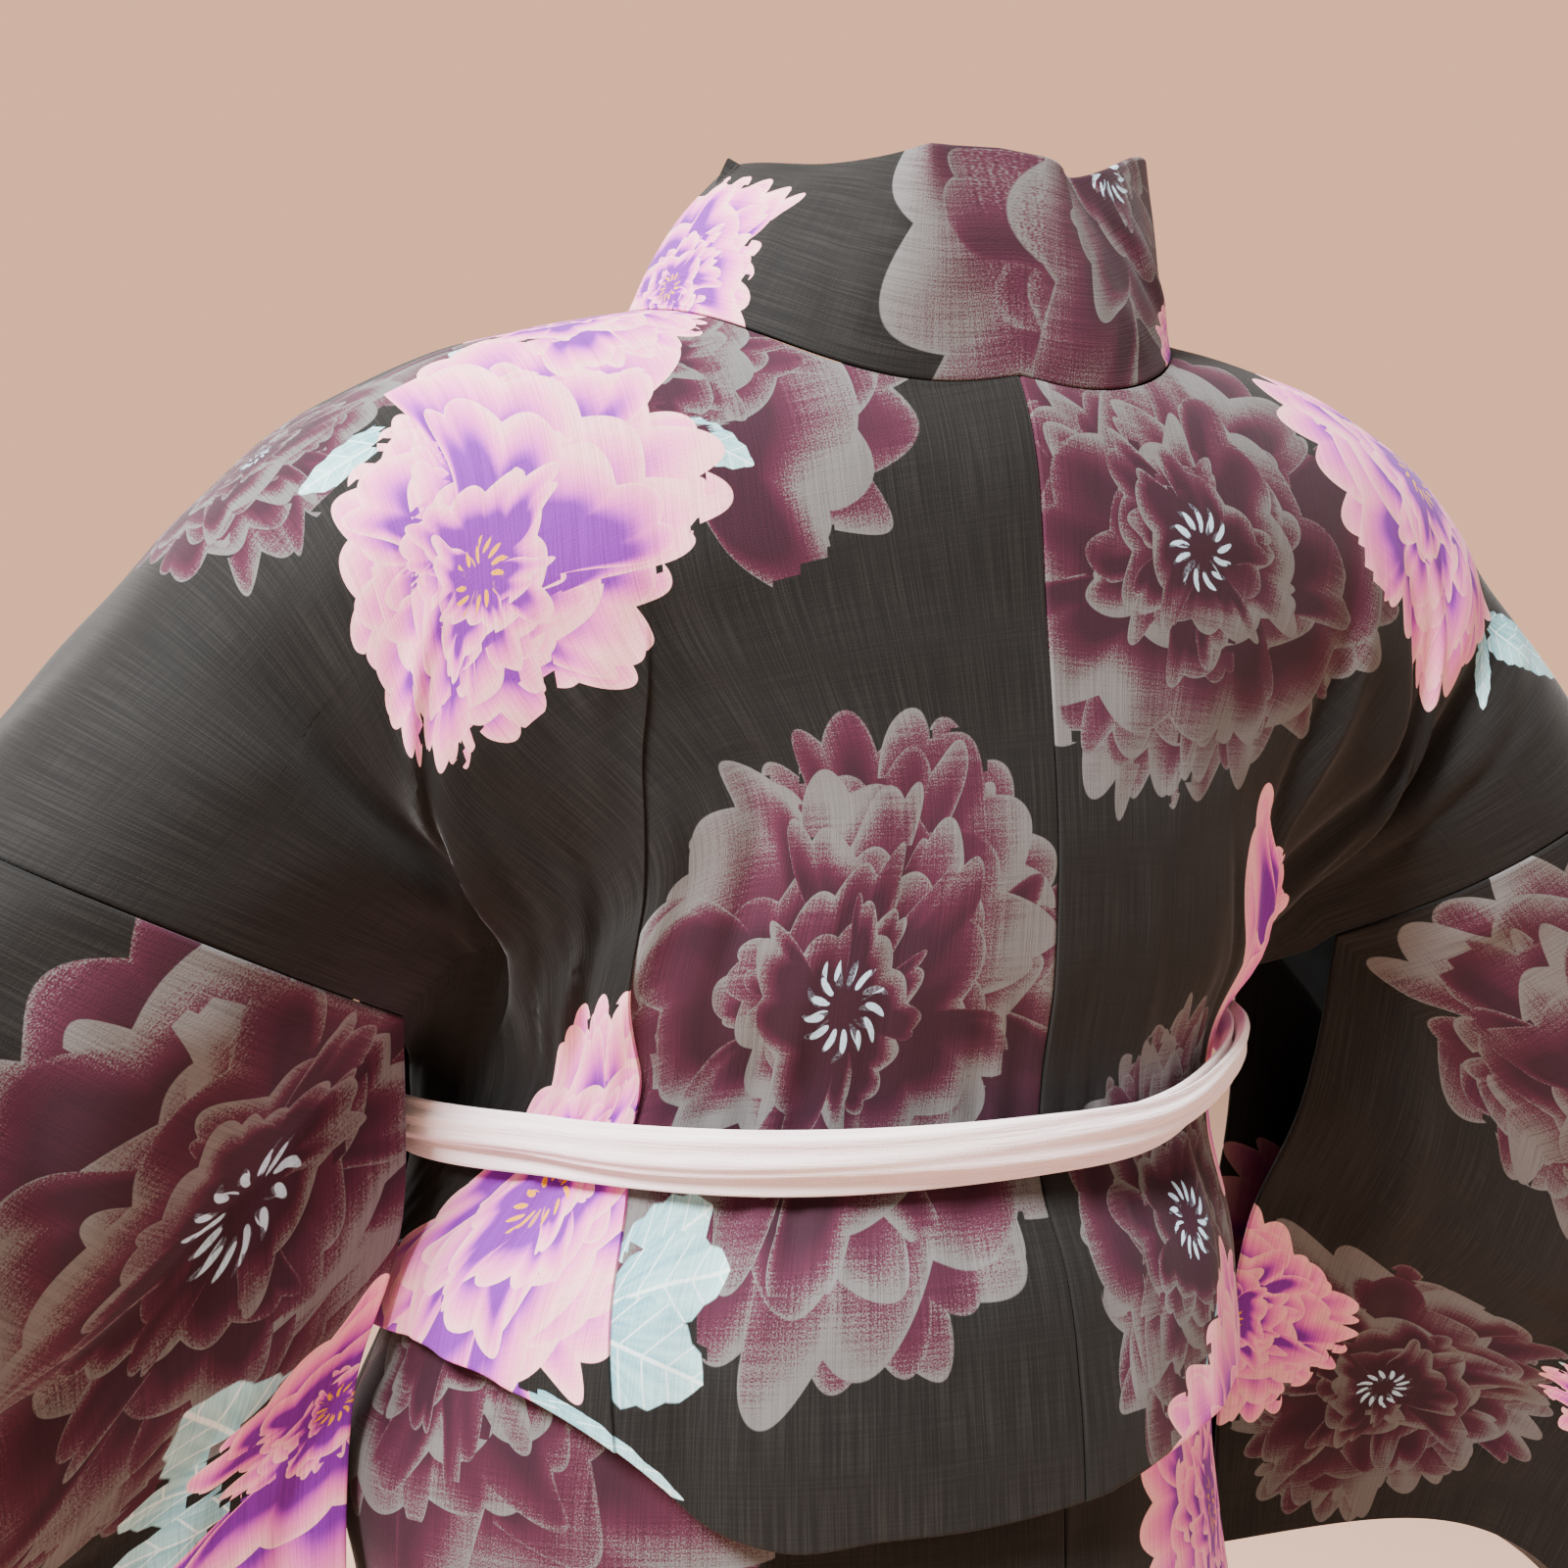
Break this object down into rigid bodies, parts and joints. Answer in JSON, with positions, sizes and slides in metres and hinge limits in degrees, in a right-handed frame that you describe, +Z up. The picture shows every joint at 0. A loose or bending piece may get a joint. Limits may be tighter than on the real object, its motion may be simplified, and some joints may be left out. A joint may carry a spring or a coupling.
{
  "type": "cotton yukata robe",
  "caption": "Worn, hollow cotton yukata robe: left front over right, wide hanging sleeves, collar pulled back from the nape, waist fold and a knitted waist tie.",
  "frame": {"origin": "middle of the neck base, on the line of the shoulder tops, where the robe rests on its wearer", "axes": "+Z up, the wearer faces -Y, the wearer's left is +X"},
  "size_m": [1.0704, 0.2739, 1.3258],
  "materials": {
    "cotton_print": "matt printed cotton with a slub weave",
    "sash_knit": "soft fuzzy knit"
  },
  "bodies": {
    "root": {"body_left": "cotton_print", "body_right": "cotton_print", "okumi_left": "cotton_print", "okumi_right": "cotton_print", "collar": "cotton_print", "sleeve_left": "cotton_print", "sleeve_right": "cotton_print", "skirt_back_left": "cotton_print", "skirt_back_right": "cotton_print", "skirt_front_left": "cotton_print", "skirt_front_right": "cotton_print", "skirt_okumi_left": "cotton_print", "skirt_okumi_right": "cotton_print", "tie_upper": "sash_knit", "tie_lower": "sash_knit", "tie_knot": "sash_knit", "tie_end_left": "sash_knit", "tie_end_right": "sash_knit"}
  },
  "joints": []
}
